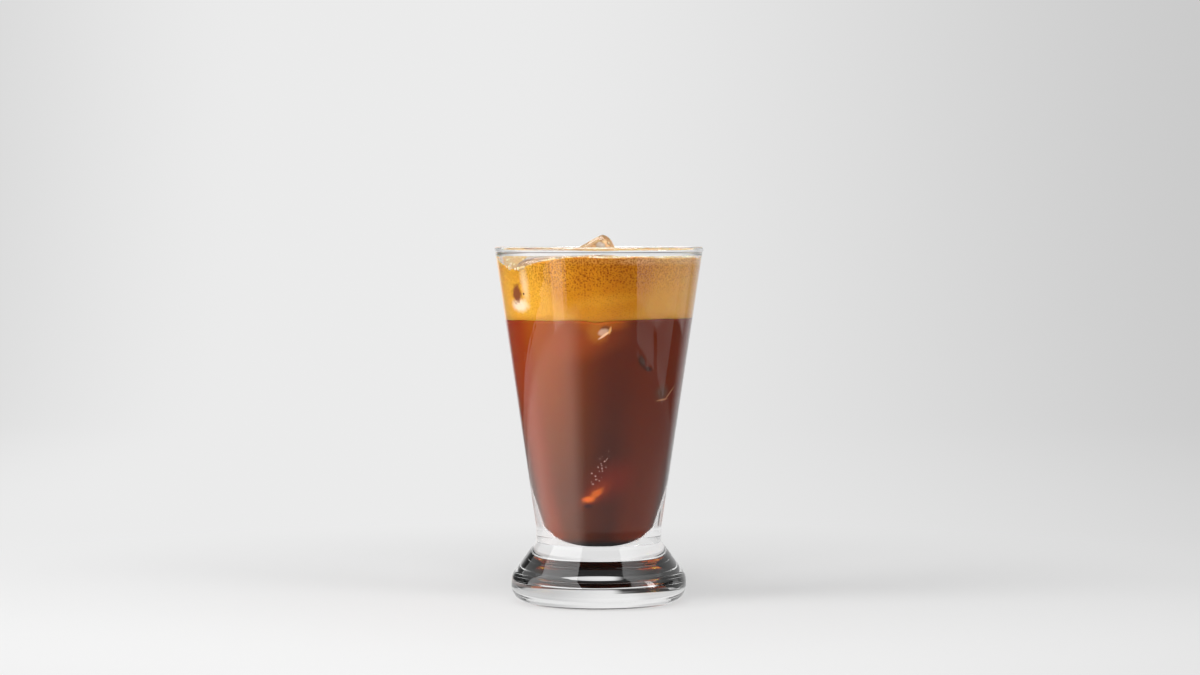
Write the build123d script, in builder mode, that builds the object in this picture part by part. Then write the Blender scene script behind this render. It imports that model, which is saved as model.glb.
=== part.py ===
from build123d import *
import math
import os

# Iced coffee in a heavy-footed glass: the glass, the dark coffee, the thick layer of
# coffee foam on it, and the two ice cubes that break the foam's surface.
# Millimetres. The origin is the middle of the foot's underside, +Z is up, and the
# front of the glass faces -Y.

# ------------------------------------------------------------------ glass, outside
glass_height = 142.0  # underside of the foot to the top of the lip
rim_diameter = 83.0  # outside of the cone where the lip's bead sits
waist_diameter = 50.2  # the narrow band between the cone and the foot
waist_top_height = 30.4  # where the cone starts
crease_height = 24.3  # where the foot flares out from the waist
foot_diameter = 70.0  # widest part of the foot
shoulder_height = 10.4  # where the flare would meet the foot's upright side
shoulder_radius = 9.4  # rounding of that corner
foot_edge_radius = 7.0  # rounding from the foot's side to its flat underside
waist_blend_radius = 12.0  # soft corner between the cone and the waist
crease_radius = 0.7  # nearly sharp corner between the waist and the flare

# ------------------------------------------------------------------- glass, inside
wall_at_rim = 1.9  # the wall is thin at the top and thickens steadily downwards
well_floor_height = 22.7  # lowest point inside, over the solid glass foot
well_floor_diameter = 25.6  # where the inner wall would meet a flat floor
well_corner_radius = 11.4  # large rounding that makes the bottom a bowl
lip_bead_diameter = 2.5  # fire-polished bead that ends the wall

# ------------------------------------------------------------------------ contents
foam_below_lip = 5.0  # top of the lip down to the foam, in the middle
foam_depth = 23.2  # thickness of the foam layer
foam_line_tilt = 0.7  # degrees, the line between coffee and foam is lower at -X
foam_meniscus = 1.0  # how far the foam climbs the wall
foam_meniscus_reach = 3.0  # how far in from the wall that climb is felt
foam_relief = 0.35  # height of the foam's slow swells
foam_swell_length = 21.0  # distance from one swell to the next
foam_dip = 4.6  # hollow in the foam where the side cube leans on the glass
foam_dip_reach = 13.0  # how far along the wall that hollow reaches

# ------------------------------------------------------------------------- the ice
middle_cube_edge = 26.0
middle_cube_rounding = 5.2
middle_cube_roll = -30.5  # degrees about Y, so that one edge points up
middle_cube_pitch = -9.0  # degrees, the raised edge falls towards the front
middle_cube_above_lip = 4.7  # how far the cube's top stands over the lip
middle_cube_place = (-2.0, 15.0)  # x, y of the cube's middle
side_cube_edge = 24.6
side_cube_rounding = 4.2
side_cube_bearing = 213.0  # degrees from +X to where its upright edge meets the wall
side_cube_below_lip = 14.6  # top of the lip down to the cube's middle
side_cube_press = 0.45  # melted flat where the edge lies on the wall
cube_gap = 0.25  # least room between the two cubes, melted out of the side one

# ------------------------------------------------------------------ derived values
rim_radius = rim_diameter / 2
waist_radius = waist_diameter / 2
foot_radius = foot_diameter / 2
well_floor_radius = well_floor_diameter / 2
lip_bead_radius = lip_bead_diameter / 2
bead_height = glass_height - lip_bead_radius
inner_rim_radius = rim_radius - wall_at_rim
foam_top = glass_height - foam_below_lip
foam_line = foam_top - foam_depth
flare_turn = math.atan((foot_radius - waist_radius) / (crease_height - shoulder_height))
shoulder_room = (shoulder_height - foot_edge_radius) / math.tan(flare_turn / 2)
shoulder_rounding = min(shoulder_radius, 0.98 * shoulder_room)  # what the upright side allows
inner_slope = (inner_rim_radius - well_floor_radius) / (bead_height - well_floor_height)
inner_lean = math.atan(inner_slope)  # the inside wall's angle from upright
headroom = 60.0  # how far the inside space is carried on above the lip
foam_sheet_cells = 28  # grid cells along each side of the foam's surface


def inner_radius(height):
    """Radius of the inside wall at a height, measured on its straight part."""
    return well_floor_radius + inner_slope * (height - well_floor_height)


def wave(x, y, bearing):
    """A sine wave across the foam, travelling along a bearing in degrees."""
    along = x * math.cos(math.radians(bearing)) + y * math.sin(math.radians(bearing))
    return math.sin(2 * math.pi * along / foam_swell_length + bearing)


def foam_surface_height(x, y):
    """Foam level at a place: slow swells, a climb at the wall, a hollow at the ice."""
    swells = foam_relief * (wave(x, y, 20) + wave(x, y, 95) + wave(x, y, 155)) / 3
    wall_gap = max(inner_radius(foam_top) - math.hypot(x, y), 0)
    climb = foam_meniscus * math.exp(-wall_gap / foam_meniscus_reach)
    bearing = math.radians(side_cube_bearing)
    hollow_x = inner_radius(foam_top) * math.cos(bearing)
    hollow_y = inner_radius(foam_top) * math.sin(bearing)
    away = math.hypot(x - hollow_x, y - hollow_y) / foam_dip_reach
    return foam_top + swells + climb - foam_dip * math.exp(-(away**2))


def corner(outline, radius, height):
    """The outline's corner nearest to a radius and a height."""
    return outline.vertices().sort_by_distance((radius, height, 0))[0]


def block_reach(plane, edge, rounding):
    """How far a rounded cube reaches over its middle when it is tilted as a plane is."""
    rises = (abs(axis.Z) for axis in (plane.x_dir, plane.y_dir, plane.z_dir))
    return (edge / 2 - rounding) * sum(rises) + rounding


def rounded_block(plane, edge, rounding):
    """A cube of ice about a plane's origin, with its edges and corners melted round."""
    with BuildPart(plane) as block:
        Box(edge, edge, edge)
        fillet(block.edges(), rounding)
    return block.part


# The glass: one solid of revolution. The outline runs up the outside from the foot,
# over the lip and down the inside to the well's floor.
with BuildPart() as glass:
    with BuildSketch(Plane.XZ) as half_section:
        with BuildLine():
            Polyline(
                (0, 0),
                (foot_radius, 0),
                (foot_radius, shoulder_height),
                (waist_radius, crease_height),
                (waist_radius, waist_top_height),
                (rim_radius, bead_height),
                (inner_rim_radius, bead_height),
                (well_floor_radius, well_floor_height),
                (0, well_floor_height),
                close=True,
            )
        make_face()
        fillet(corner(half_section, foot_radius, 0), foot_edge_radius)
        fillet(corner(half_section, foot_radius, shoulder_height), shoulder_rounding)
        fillet(corner(half_section, waist_radius, crease_height), crease_radius)
        fillet(corner(half_section, waist_radius, waist_top_height), waist_blend_radius)
        fillet(corner(half_section, well_floor_radius, well_floor_height), well_corner_radius)
        with Locations((rim_radius - wall_at_rim / 2, bead_height)):
            Circle(lip_bead_radius)
    revolve(axis=Axis.Z)
glass.part.label = "glass"

# The space inside the wall, carried on above the lip at the same slope. What is in the
# glass is cut to it, so that it lies against the wall.
with BuildPart() as inside:
    with BuildSketch(Plane.XZ) as inside_half:
        with BuildLine():
            Polyline(
                (0, well_floor_height),
                (well_floor_radius, well_floor_height),
                (inner_radius(glass_height + headroom), glass_height + headroom),
                (0, glass_height + headroom),
                close=True,
            )
        make_face()
        fillet(corner(inside_half, well_floor_radius, well_floor_height), well_corner_radius)
    revolve(axis=Axis.Z)

# The middle cube: rolled so that one edge points up, with its top over the lip.
middle_tilt = Plane.XY.rotated((middle_cube_pitch, middle_cube_roll, 0))
middle_top = glass_height + middle_cube_above_lip
middle_height = middle_top - block_reach(middle_tilt, middle_cube_edge, middle_cube_rounding)
middle_plane = Plane(
    origin=(*middle_cube_place, middle_height),
    x_dir=middle_tilt.x_dir,
    z_dir=middle_tilt.z_dir,
)
middle_block = rounded_block(middle_plane, middle_cube_edge, middle_cube_rounding)
with BuildPart() as middle_cube:
    add(middle_block)
    add(inside.part, mode=Mode.INTERSECT)
middle_cube.part.label = "ice_cube_middle"

# The side cube: it leans outwards as the wall does, and its upright edge lies on it.
side_height = glass_height - side_cube_below_lip
edge_reach = side_cube_edge / math.sqrt(2) - side_cube_rounding * (math.sqrt(2) - 1)
side_offset = (edge_reach - side_cube_press) / math.cos(inner_lean)
side_radius = inner_radius(side_height) - side_offset
side_bearing = math.radians(side_cube_bearing)
outwards = Vector(math.cos(side_bearing), math.sin(side_bearing), 0)
side_axis = Vector(0, 0, 1) * math.cos(inner_lean) + outwards * math.sin(inner_lean)
side_plane = Plane(
    origin=outwards * side_radius + Vector(0, 0, side_height),
    x_dir=Vector(0, 0, 1).cross(outwards),
    z_dir=side_axis,
).rotated((0, 0, 45))
side_block = rounded_block(side_plane, side_cube_edge, side_cube_rounding)
room_for_middle = rounded_block(
    middle_plane, middle_cube_edge + 2 * cube_gap, middle_cube_rounding + cube_gap
)
with BuildPart() as side_cube:
    add(side_block)
    add(inside.part, mode=Mode.INTERSECT)
    add(room_for_middle, mode=Mode.SUBTRACT)
side_cube.part.label = "ice_cube_side"

# The coffee: the space inside, up to the foam line, cut round the ice.
foam_line_plane = Plane(origin=(0, 0, foam_line)).rotated((0, -foam_line_tilt, 0))
with BuildPart() as coffee:
    add(inside.part)
    split(bisect_by=foam_line_plane, keep=Keep.BOTTOM)
    add(middle_cube.part, mode=Mode.SUBTRACT)
    add(side_cube.part, mode=Mode.SUBTRACT)
coffee.part.label = "coffee"

# The foam: from that line up to its uneven surface, cut round the ice. The surface is
# one smooth sheet through a square grid of heights, wider than the glass.
sheet_half = inner_radius(glass_height) + foam_meniscus_reach
sheet_step = 2 * sheet_half / foam_sheet_cells
sheet_points = [
    [
        (x, y, foam_surface_height(x, y))
        for x in (i * sheet_step - sheet_half for i in range(foam_sheet_cells + 1))
    ]
    for y in (j * sheet_step - sheet_half for j in range(foam_sheet_cells + 1))
]
foam_sheet = Face.make_surface_from_array_of_points(sheet_points)
with BuildPart() as under_sheet:
    extrude(to_extrude=foam_sheet, amount=foam_depth * 3, dir=(0, 0, -1))
with BuildPart() as foam:
    add(inside.part)
    split(bisect_by=foam_line_plane, keep=Keep.TOP)
    add(under_sheet.part, mode=Mode.INTERSECT)
    add(middle_cube.part, mode=Mode.SUBTRACT)
    add(side_cube.part, mode=Mode.SUBTRACT)
foam.part.label = "coffee_foam"

os.makedirs("parts", exist_ok=True)
for piece in (glass, coffee, foam, middle_cube, side_cube):
    export_step(piece.part, f"parts/{piece.part.label}.step")
    print(piece.part.label, round(piece.part.volume / 1000, 2), "ml")
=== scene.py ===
# %% [markdown]
# # Iced coffee in a heavy-footed glass
# A clear glass with a wide cone, a narrow waist and a heavy foot holds dark coffee, a thick
# layer of coffee foam and ice. The packed CAD model gives the frame: every piece below is
# worked out in metres in that same frame, with the glass standing on z = 0 and its front
# towards -Y.

# %% Load the frame
import math

import bpy
import numpy as np
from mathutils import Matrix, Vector


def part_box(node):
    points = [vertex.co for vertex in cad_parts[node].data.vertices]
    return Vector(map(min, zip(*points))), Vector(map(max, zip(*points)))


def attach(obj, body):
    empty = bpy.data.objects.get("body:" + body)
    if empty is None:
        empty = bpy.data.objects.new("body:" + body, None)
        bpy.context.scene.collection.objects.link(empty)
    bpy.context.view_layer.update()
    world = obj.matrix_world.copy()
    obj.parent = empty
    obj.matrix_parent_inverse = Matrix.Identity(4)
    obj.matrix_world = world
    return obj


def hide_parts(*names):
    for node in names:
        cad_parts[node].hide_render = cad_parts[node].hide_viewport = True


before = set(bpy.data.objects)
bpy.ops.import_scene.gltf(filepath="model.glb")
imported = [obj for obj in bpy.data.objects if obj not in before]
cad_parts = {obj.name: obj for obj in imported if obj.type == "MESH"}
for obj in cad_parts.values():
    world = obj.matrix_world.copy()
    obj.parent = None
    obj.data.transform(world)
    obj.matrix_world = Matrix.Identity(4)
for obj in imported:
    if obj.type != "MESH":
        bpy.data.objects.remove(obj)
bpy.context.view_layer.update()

MM = 0.001
print("packed nodes:", ", ".join(sorted(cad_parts)))

# %% [markdown]
# ## The sizes that the pieces share
# The frame gives each node's box. What a box can't say, such as where the waist is, is
# named here once, in millimetres, as the maker of the glass would write it down.

# %% Sizes of the glass and its contents
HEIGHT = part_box("glass")[1].z / MM
BEAD_R = 1.25  # the fire-polished bead that ends the wall
BEAD_Z = HEIGHT - BEAD_R
BEAD_OUT, WALL_AT_RIM = 0.3, 1.9
RIM_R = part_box("glass")[1].x / MM - BEAD_OUT
INNER_RIM_R = RIM_R - WALL_AT_RIM
WAIST_R, WAIST_TOP, CREASE_Z = 25.1, 30.4, 24.3
FOOT_R, SHOULDER_Z = 35.0, 10.4
OUTER_ROUNDINGS = (7.0, 9.4, 0.7, 12.0)  # foot's edge, shoulder, crease, top of the waist
WELL_R, WELL_Z, WELL_ROUNDING = 12.8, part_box("coffee")[0].z / MM, 11.4
FOAM_BELOW_LIP, FOAM_DEPTH = 5.0, 23.2
FOAM_TOP = HEIGHT - FOAM_BELOW_LIP
FOAM_LINE = FOAM_TOP - FOAM_DEPTH
LINE_TILT = math.radians(0.7)
WALL_OVERLAP = 0.15  # how far the contents reach into the wall
INNER_SLOPE = (INNER_RIM_R - WELL_R) / (BEAD_Z - WELL_Z)
print(f"glass {HEIGHT:.1f} mm high, rim radius {RIM_R:.2f}, well floor at {WELL_Z:.1f}")

# %% [markdown]
# ## Camera
# The glass is looked at from a little above its middle. A short lens close by would spread
# the rim and shrink the foot, so a long lens stands well back: it keeps the sides of the
# cone nearly straight, and the rim a thin oval.

# %% Make the camera
AIM = Vector((0.0005, 0.0, 0.1057))
camera_data = bpy.data.cameras.new("camera")
camera_data.lens = 93.9
camera_data.sensor_width = 36.0
camera = bpy.data.objects.new("camera", camera_data)
bpy.context.scene.collection.objects.link(camera)
camera.location = (0.0005, -1.25, 0.152)
sight = AIM - camera.location
camera.rotation_euler = sight.to_track_quat("-Z", "Y").to_euler()
bpy.context.scene.camera = camera
bpy.context.scene.view_settings.view_transform = "Standard"
print("camera looks down by", round(math.degrees(math.atan2(-sight.z, sight.y)), 2), "degrees")

# %% [markdown]
# ## Helpers for surfaces
# Every new piece is a grid of points: a profile turned about the axis, or a closed skin
# round a middle point. A Screw modifier or a stack of primitives could make some of them,
# but a grid worked out with numpy gives exact radii, even faces and closed poles, and the
# same few lines serve all the pieces.

# %% Points and faces into a piece


def make_piece(name, points, faces, material, body="root"):
    """Put points (n, 3) in millimetres and faces (m, 3) into a new object in metres."""
    mesh = bpy.data.meshes.new(name)
    faces = np.asarray(faces, np.int32)
    mesh.vertices.add(len(points))
    mesh.vertices.foreach_set("co", (np.asarray(points, float) * MM).astype(np.float32).ravel())
    mesh.loops.add(faces.size)
    mesh.loops.foreach_set("vertex_index", faces.ravel())
    mesh.polygons.add(len(faces))
    starts = np.arange(len(faces), dtype=np.int32) * faces.shape[1]
    mesh.polygons.foreach_set("loop_start", starts)
    mesh.polygons.foreach_set("use_smooth", np.full(len(faces), True))
    mesh.update(calc_edges=True)
    mesh.validate()
    piece = bpy.data.objects.new(name, mesh)
    bpy.context.scene.collection.objects.link(piece)
    mesh.materials.append(material)
    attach(piece, body)
    print(f"{name}: {len(points)} points, {len(faces)} faces")
    return piece


# %% Faces of a closed grid


def grid_faces(rows, columns):
    """Triangles of a grid closed round its columns, with one point at each end.

    Points are: pole, then rows x columns, then pole. With j the column and k the next one
    round, row i gives (i, j) (i, k) (i+1, k) and (i, j) (i+1, k) (i+1, j).
    """
    j = np.arange(columns)
    k = (j + 1) % columns
    first = 1 + np.arange(rows - 1)[:, None] * columns
    a, b, c, d = first + j, first + k, first + columns + k, first + columns + j
    body = np.concatenate(
        [np.stack([a, b, c], -1).reshape(-1, 3), np.stack([a, c, d], -1).reshape(-1, 3)]
    )
    low = np.stack([np.zeros_like(j), 1 + k, 1 + j], -1)
    last = 1 + (rows - 1) * columns
    high = np.stack([last + j, last + k, np.full_like(j, last + columns)], -1)
    return np.concatenate([low, body, high])


print("3 rings of 8 points and two poles close with", len(grid_faces(3, 8)), "triangles")

# %% Skins that close in a point at each end


def closed(skin):
    """Points of a (rows, columns, 3) skin whose first and last rows are one point each."""
    return np.concatenate([skin[0, :1], skin[1:-1].reshape(-1, 3), skin[-1, :1]])


def turned(radii, heights, columns):
    """Rows of radius and height turned about the axis: (r cos t_j, r sin t_j, z).

    t_j = 2 pi j / columns. Both arrays are (rows, 1), or (rows, columns) where the rows vary
    round the axis. The first and last rows lie on the axis.
    """
    t = 2 * np.pi * np.arange(columns) / columns
    skin = np.stack([radii * np.cos(t), radii * np.sin(t), heights + 0 * t], -1)
    return closed(skin), grid_faces(len(skin) - 2, columns)


diamond = np.array([[0.0], [1.0], [0.0]]), np.array([[-1.0], [0.0], [1.0]])
print("a ring of 8 points between two poles:", len(turned(*diamond, 8)[0]), "points")

# %% An outline with round corners


def rounded_outline(corners, radii, arc_steps=14, run_step=1.6):
    """A polyline with its corners rounded.

    At a corner P with unit sides u and v that open by the angle g, the arc of radius r
    touches both sides at r / tan(g/2) from P; its middle is P + (u+v)/|u+v| r / sin(g/2).
    Straight runs are divided evenly, so that shading stays even along them.
    """
    corners = np.asarray(corners, float)
    line = [corners[:1]]
    for before, at, after, r in zip(corners, corners[1:], corners[2:], radii):
        u = (before - at) / np.linalg.norm(before - at)
        v = (after - at) / np.linalg.norm(after - at)
        half = math.acos(float(np.clip(u @ v, -1, 1))) / 2
        middle = at + (u + v) / np.linalg.norm(u + v) * r / math.sin(half)
        start, end = at + u * r / math.tan(half) - middle, at + v * r / math.tan(half) - middle
        turn = math.pi - 2 * half
        s = np.linspace(0, 1, arc_steps + 1)[:, None]
        arc = (np.sin((1 - s) * turn) * start + np.sin(s * turn) * end) / math.sin(turn)
        line.append(middle + arc)
    line.append(corners[-1:])
    rough = np.concatenate(line)
    runs = np.linalg.norm(np.diff(rough, axis=0), axis=1)
    pieces = [
        a + (b - a) * np.linspace(0, 1, max(1, math.ceil(n / run_step)) + 1)[:-1, None]
        for a, b, n in zip(rough, rough[1:], runs)
        if n > 1e-6
    ]
    return np.concatenate(pieces + [rough[-1:]])


print("a right corner takes", len(rounded_outline([(0, 0), (9, 0), (9, 9)], [4])), "points")

# %% The inside wall


def inner_radius(height):
    """Radius of the inside wall on its straight part: r = r0 + slope (z - z0)."""
    return WELL_R + INNER_SLOPE * (np.asarray(height, float) - WELL_Z)


print(f"inside radius {inner_radius(FOAM_LINE):.2f} at the foam line, "
      f"{inner_radius(FOAM_TOP):.2f} at the foam's top")

# %% [markdown]
# ## Helpers for materials
# A finish is a tree of nodes. It could be drawn by hand in the shader editor; here a few
# short functions add and link the nodes, so that each finish below reads as a list of what
# it is made of: a mask, a tint, and how strongly one is laid over the other.

# %% Node helpers


class Nodes:
    """A thin wrapper that adds nodes to one tree and links them by socket name."""

    def __init__(self, tree):
        self.tree = tree

    def add(self, kind, inputs=None, **settings):
        """A node with its settings, each input either linked or given a value."""
        node = self.tree.nodes.new(kind)
        for key, value in settings.items():
            setattr(node, key, value)
        for key, value in (inputs or {}).items():
            if isinstance(value, bpy.types.NodeSocket):
                self.tree.links.new(value, node.inputs[key])
            else:
                node.inputs[key].default_value = value
        return node

    def link(self, a, b):
        self.tree.links.new(a, b)

    def object_place(self):
        return self.add("ShaderNodeTexCoord").outputs["Object"]

    def xyz(self, vector):
        return self.add("ShaderNodeSeparateXYZ", {0: vector}).outputs

    def noise(self, place, scale, detail):
        inputs = {"Vector": place, "Scale": scale, "Detail": detail}
        return self.add("ShaderNodeTexNoise", inputs).outputs["Fac"]

    def math(self, operation, a, b=0.0, clamp=False):
        settings = {"operation": operation, "use_clamp": clamp}
        return self.add("ShaderNodeMath", {0: a, 1: b}, **settings).outputs[0]

    def minus(self, a, b, clamp=False):
        return self.math("SUBTRACT", a, b, clamp)

    def plus(self, first, *others):
        for other in others:
            first = self.math("ADD", first, other)
        return first

    def times(self, first, *others):
        """Product of masks and numbers."""
        for other in others:
            first = self.math("MULTIPLY", first, other)
        return first

    def length(self, a, b):
        """Square root of a a + b b."""
        return self.math("SQRT", self.plus(self.times(a, a), self.times(b, b)))

    def bearing(self, x, y):
        """Angle round the axis in radians: 0 is the front, and the right is positive."""
        return self.math("ARCTAN2", x, self.times(y, -1.0))

    def ramp(self, value, low, high, to_low=0.0, to_high=1.0, smooth=True):
        """Smoothly from to_low to to_high while value goes from low to high."""
        inputs = {"Value": value, "From Min": low, "From Max": high,
                  "To Min": to_low, "To Max": to_high}
        kind = "SMOOTHSTEP" if smooth else "LINEAR"
        return self.add("ShaderNodeMapRange", inputs, interpolation_type=kind).outputs[0]

    def turn_ramp(self, angle, low, high, to_low=0.0, to_high=1.0, smooth=True):
        """A ramp over an angle, with its two ends given in degrees."""
        return self.ramp(angle, math.radians(low), math.radians(high), to_low, to_high, smooth)

    def mix(self, factor, a, b):
        """From colour a to colour b; a plain colour is three numbers."""
        a, b = (c if isinstance(c, bpy.types.NodeSocket) else (*c, 1.0) for c in (a, b))
        return self.add("ShaderNodeMix", {0: factor, 6: a, 7: b}, data_type="RGBA").outputs[2]

    def lay(self, tint, over, *masks):
        """A tint laid over a colour, as strongly as the product of the masks."""
        return self.mix(self.times(*masks), over, tint)


print("node helpers:", ", ".join(name for name in vars(Nodes) if not name.startswith("_")))

# %% An empty material


def new_material(name):
    """An empty node material and its helper, with the output node made."""
    material = bpy.data.materials.new(name)
    material.use_nodes = True
    material.node_tree.nodes.clear()
    nodes = Nodes(material.node_tree)
    return material, nodes, nodes.add("ShaderNodeOutputMaterial")


def grey(value):
    return (value, value, value, 1.0)


print("mid grey is", grey(0.5))

# %% [markdown]
# ## A spot on the wall
# Ice and bubbles lie against the glass in several places, in the foam and in the coffee.
# Each could be painted on an image, but an image blurs close up and needs an unwrapped
# surface. One group of nodes draws them all: an oval about a bearing and a height, turned
# if need be, with a soft or a ragged edge. Bearings are degrees from the front, positive to
# the right.

# %% The wall_spot group
wall_spot = bpy.data.node_groups.new("wall_spot", "ShaderNodeTree")
SPOT_INPUTS = ("Bearing", "Height", "Half Width", "Half Height", "Turn", "Edge", "Ragged")
wall_spot.interface.new_socket(name="Place", in_out="INPUT", socket_type="NodeSocketVector")
for label in SPOT_INPUTS:
    wall_spot.interface.new_socket(name=label, in_out="INPUT", socket_type="NodeSocketFloat")
wall_spot.interface.new_socket(name="Mask", in_out="OUTPUT", socket_type="NodeSocketFloat")
n = Nodes(wall_spot)
given = n.add("NodeGroupInput").outputs
result = n.add("NodeGroupOutput")
px, py, pz = n.xyz(given["Place"])
turn_to = n.minus(n.bearing(px, py), n.math("RADIANS", given["Bearing"]))
across = n.times(n.length(px, py), 1000.0, turn_to)
up = n.minus(n.times(pz, 1000.0), given["Height"])
turn = n.math("RADIANS", given["Turn"])
cos_t, sin_t = n.math("COSINE", turn), n.math("SINE", turn)
u = n.plus(n.times(across, cos_t), n.times(up, sin_t))
v = n.minus(n.times(up, cos_t), n.times(across, sin_t))
away = n.length(n.math("DIVIDE", u, given["Half Width"]),
                n.math("DIVIDE", v, given["Half Height"]))
grain = n.noise(given["Place"], 700.0, 3.0)
away = n.plus(away, n.times(n.minus(grain, 0.5), given["Ragged"]))
mask = n.ramp(away, n.plus(1.0, given["Edge"]), n.minus(1.0, given["Edge"]))
n.link(mask, result.inputs["Mask"])
print("wall_spot has", len(wall_spot.nodes), "nodes")


def spot(n, place, *sizes):
    """Mask of one oval on the wall.

    Sizes are bearing, height, half width, half height, turn, edge and ragged, in degrees
    and millimetres; edge and ragged are shares of the oval's half width.
    """
    inputs = {"Place": place, **dict(zip(SPOT_INPUTS, sizes))}
    return n.add("ShaderNodeGroup", inputs, node_tree=wall_spot).outputs["Mask"]


# %% [markdown]
# ## Clear glass
# Soda glass bends light by 1.5 and has no colour at this thickness; slow ripples from the
# mould break its reflections a little. Rays bent by glass find small lamps badly, which
# would leave the coffee grainy. So a shadow ray meets a clear pane instead, and the lamps
# reach what is in the glass straight through the wall.

# %% Glass material


def clear_to_lamps(n, out, body, clearness):
    """Shadow rays meet a clear pane, and every other ray meets the body's own shader."""
    clear = n.add("ShaderNodeBsdfTransparent", {"Color": grey(clearness)})
    path = n.add("ShaderNodeLightPath")
    mixed = n.add("ShaderNodeMixShader", {0: path.outputs["Is Shadow Ray"],
                                          1: body.outputs[0], 2: clear.outputs[0]})
    n.link(mixed.outputs[0], out.inputs["Surface"])


clear_glass, n, out = new_material("clear_glass")
ripple = n.noise(n.object_place(), 38.0, 1.0)
bump = n.add("ShaderNodeBump", {"Height": ripple, "Strength": 0.02, "Distance": 0.001})
body = n.add("ShaderNodeBsdfPrincipled", {
    "Base Color": grey(1.0), "Roughness": 0.0, "IOR": 1.5, "Transmission Weight": 1.0,
    "Normal": bump.outputs[0]})
clear_to_lamps(n, out, body, 0.93)
print("clear_glass bends light by", body.inputs["IOR"].default_value)

# %% [markdown]
# ## The glass
# It is pressed in a turned mould, and so it is round about its axis. A few flats smoothed
# by a Subdivision Surface would drift off the CAD radii, and every flat on a refracting
# surface shows as a streak. A finely turned profile gives a truly smooth surface. Its
# outline runs from the middle of the underside out over the foot, up the cone, over the
# fire-polished bead and down the inside.

# %% The outline of the glass
ARCS, GLASS_COLUMNS, BEAD_POINTS = 18, 288, 24
SWELL_AT, SWELL_HALF, SWELL = 11.6, 3.0, 0.30  # the flare is pressed a hair fuller here
bead_middle = np.array([(RIM_R + INNER_RIM_R) / 2, BEAD_Z])


def line_meets_bead(foot, top):
    """Where the line from foot to top goes into the bead: |foot + s (top - foot) - m| = r."""
    d, f = top - foot, foot - bead_middle
    a, b, c = d @ d, 2 * f @ d, f @ f - BEAD_R**2
    return foot + (-b - math.sqrt(b * b - 4 * a * c)) / (2 * a) * d


outside_end = line_meets_bead(np.array([WAIST_R, WAIST_TOP]), np.array([RIM_R, BEAD_Z]))
inside_end = line_meets_bead(np.array([WELL_R, WELL_Z]), np.array([INNER_RIM_R, BEAD_Z]))
outside = rounded_outline(
    [(0, 0), (FOOT_R, 0), (FOOT_R, SHOULDER_Z), (WAIST_R, CREASE_Z), (WAIST_R, WAIST_TOP),
     outside_end],
    OUTER_ROUNDINGS, ARCS)
outside[:, 0] += SWELL * np.exp(-(((outside[:, 1] - SWELL_AT) / SWELL_HALF) ** 2)) * (
    outside[:, 0] > WAIST_R)
inside_wall = rounded_outline([inside_end, (WELL_R, WELL_Z), (0, WELL_Z)], [WELL_ROUNDING],
                              ARCS * 2)
print("outline:", len(outside), "points outside and", len(inside_wall), "inside")

# %% Turn the glass
from_angle = math.atan2(*(outside_end - bead_middle)[::-1])
to_angle = math.atan2(*(inside_end - bead_middle)[::-1]) % (2 * math.pi)
around = np.linspace(from_angle, to_angle, BEAD_POINTS + 2)[1:-1]
bead = bead_middle + BEAD_R * np.stack([np.cos(around), np.sin(around)], -1)
glass_profile = np.concatenate([outside, bead, inside_wall])
points, faces = turned(glass_profile[:, :1], glass_profile[:, 1:], GLASS_COLUMNS)
glass_piece = make_piece("glass_turned", points, faces, clear_glass)
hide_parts("glass")

# %% [markdown]
# ## The colour of the coffee
# Strong black coffee is nearly opaque: light goes a few millimetres in and comes back red.
# It is brightest on the side of the window, and round the ice that lies near the wall. A
# volume with ice sunk in it would be truer, but it takes long to settle and leaves grain
# behind curved glass. So the coffee is a skin with light scattering just under it, and its
# lighter and darker sides are painted light and shade, laid on by bearing and height.

# %% Coffee: the body of colour, with painted light and shade


def wall_measures(n):
    """Object place, its x, y and z, the height in millimetres, and the bearing."""
    place = n.object_place()
    x, y, z = n.xyz(place)
    return place, x, y, z, n.times(z, 1000.0), n.bearing(x, y)


SHADE_LOW, SHADE_HIGH = 46.0, 112.0  # mm, where the shading by height starts and ends
coffee_dark, n, out = new_material("coffee_dark")
place, *_, height, bearing_at = wall_measures(n)
cloud = n.noise(place, 45.0, 2.0)
low_down = n.mix(n.ramp(cloud, 0.3, 0.7), (0.067, 0.0100, 0.0030), (0.080, 0.0118, 0.0034))
# painted light: higher up, near the foam, the coffee is painted lighter and redder
colour = n.mix(n.ramp(height, 62.0, 104.0), low_down, (0.118, 0.0150, 0.0026))
# painted light: the side that faces the window is painted lighter and redder, most where it
# turns away, and the right side gets a weaker painted glow
colour = n.lay((0.36, 0.080, 0.0045), colour, n.turn_ramp(bearing_at, 8, -40),
               n.ramp(height, SHADE_LOW, SHADE_HIGH, 0.15, 1.0, False))
colour = n.lay((0.170, 0.0210, 0.0030), colour, n.turn_ramp(bearing_at, 10, 40), 0.55)
colour = n.lay((0.27, 0.026, 0.0020), colour, n.turn_ramp(bearing_at, -44, -66),
               n.ramp(height, SHADE_LOW, SHADE_HIGH, 0.4, 0.9, False))
print("coffee_dark starts with", len(n.tree.nodes), "nodes")
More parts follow.
